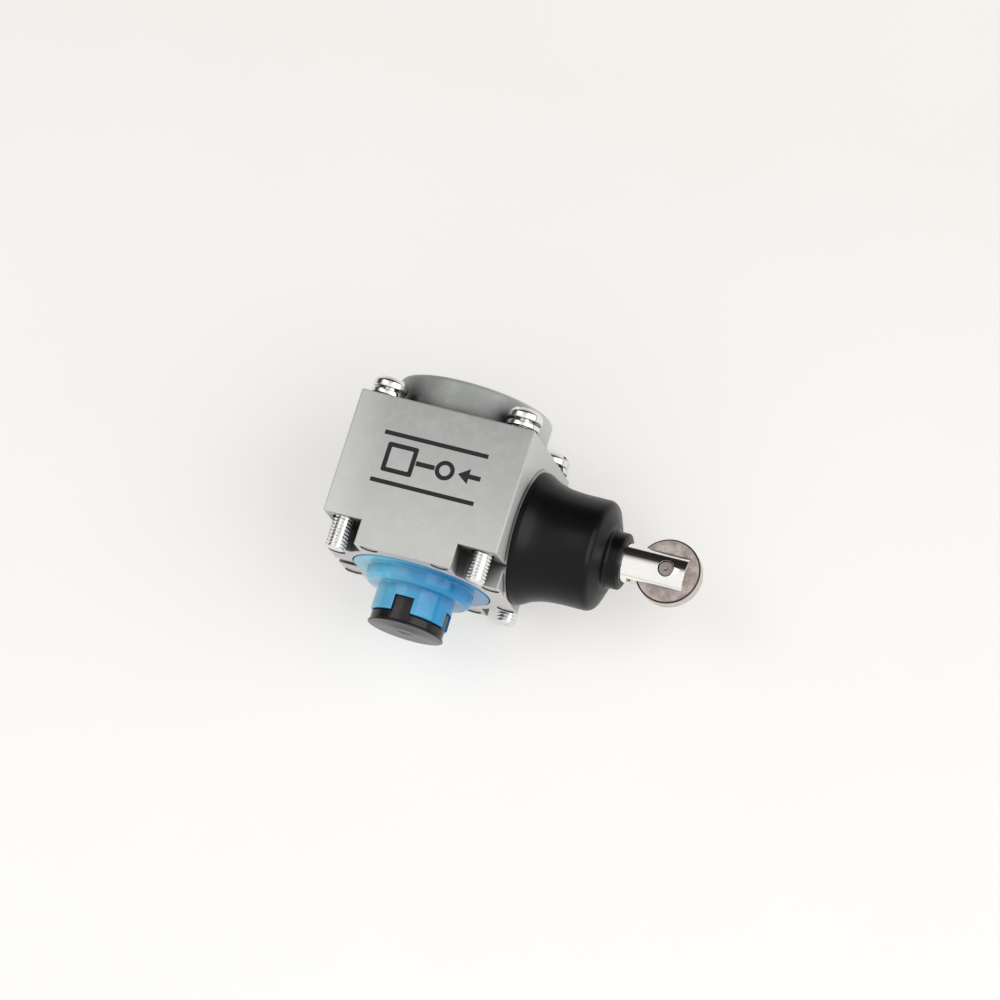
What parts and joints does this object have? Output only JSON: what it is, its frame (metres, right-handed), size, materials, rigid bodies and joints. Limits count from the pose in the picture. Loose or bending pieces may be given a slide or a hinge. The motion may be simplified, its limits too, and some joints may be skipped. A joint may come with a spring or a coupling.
{
  "type": "limit switch operator head",
  "caption": "Square cast head whose roller-tipped plunger pushes in sideways and drives a slotted output plunger out of the mounting face.",
  "frame": {"origin": "centre of the mounting face, on the output plunger's axis", "axes": "+X the way the roller plunger points, +Y from the mounting face into the head, +Z the way the label face looks; the head lies on its back face, low in Z"},
  "size_m": [0.0837, 0.0562, 0.042],
  "materials": {
    "grey_paint": "satin",
    "blue_plastic": "gloss",
    "black_plastic": "satin",
    "boot_rubber": "satin",
    "seal_rubber": "matte",
    "zinc_screw": "bright zinc",
    "chrome_shaft": "polished",
    "hard_steel": "ground",
    "pin_steel": "dull",
    "roller_steel": "satin sintered",
    "bronze": "sintered",
    "spring_steel": "drawn wire"
  },
  "bodies": {
    "housing": {"housing": "grey_paint", "output_guide": "blue_plastic", "guide_gasket": "seal_rubber", "captive_screws": "zinc_screw", "lock_washers": "zinc_screw", "plunger_bushing": "bronze", "shaft_seal": "seal_rubber", "seal_retainer": "zinc_screw", "boot": "boot_rubber", "rear_guide": "bronze", "plunger_spring": "spring_steel", "output_spring": "spring_steel"},
    "plunger": {"plunger_shaft": "chrome_shaft", "drive_cam": "hard_steel", "cam_pin": "hard_steel", "roller_pin": "pin_steel"},
    "roller": {"roller": "roller_steel", "roller_bushing": "bronze"},
    "output": {"output_plunger": "black_plastic", "output_stem": "hard_steel", "cam_follower": "hard_steel"}
  },
  "joints": [
    {"name": "plunger_slide", "type": "slide", "parent": "housing", "child": "plunger", "axis": [-1, 0, 0], "range_m": [0, 0.0056], "stiffness_N_per_m": 900, "springref_m": -0.004, "deforming": ["boot", "plunger_spring"]},
    {"name": "roller_spin", "type": "hinge", "parent": "plunger", "child": "roller", "pos_m": [0.0552, 0.0157, 0], "axis": [0, 0, 1], "continuous": true},
    {"name": "output_slide", "type": "slide", "parent": "housing", "child": "output", "axis": [0, -1, 0], "range_m": [0, 0.0028], "stiffness_N_per_m": 300, "springref_m": -0.003, "deforming": ["output_spring"]}
  ],
  "couplings": [
    {"joint": "output_slide", "follows": "plunger_slide", "ratio": 0.5}
  ]
}
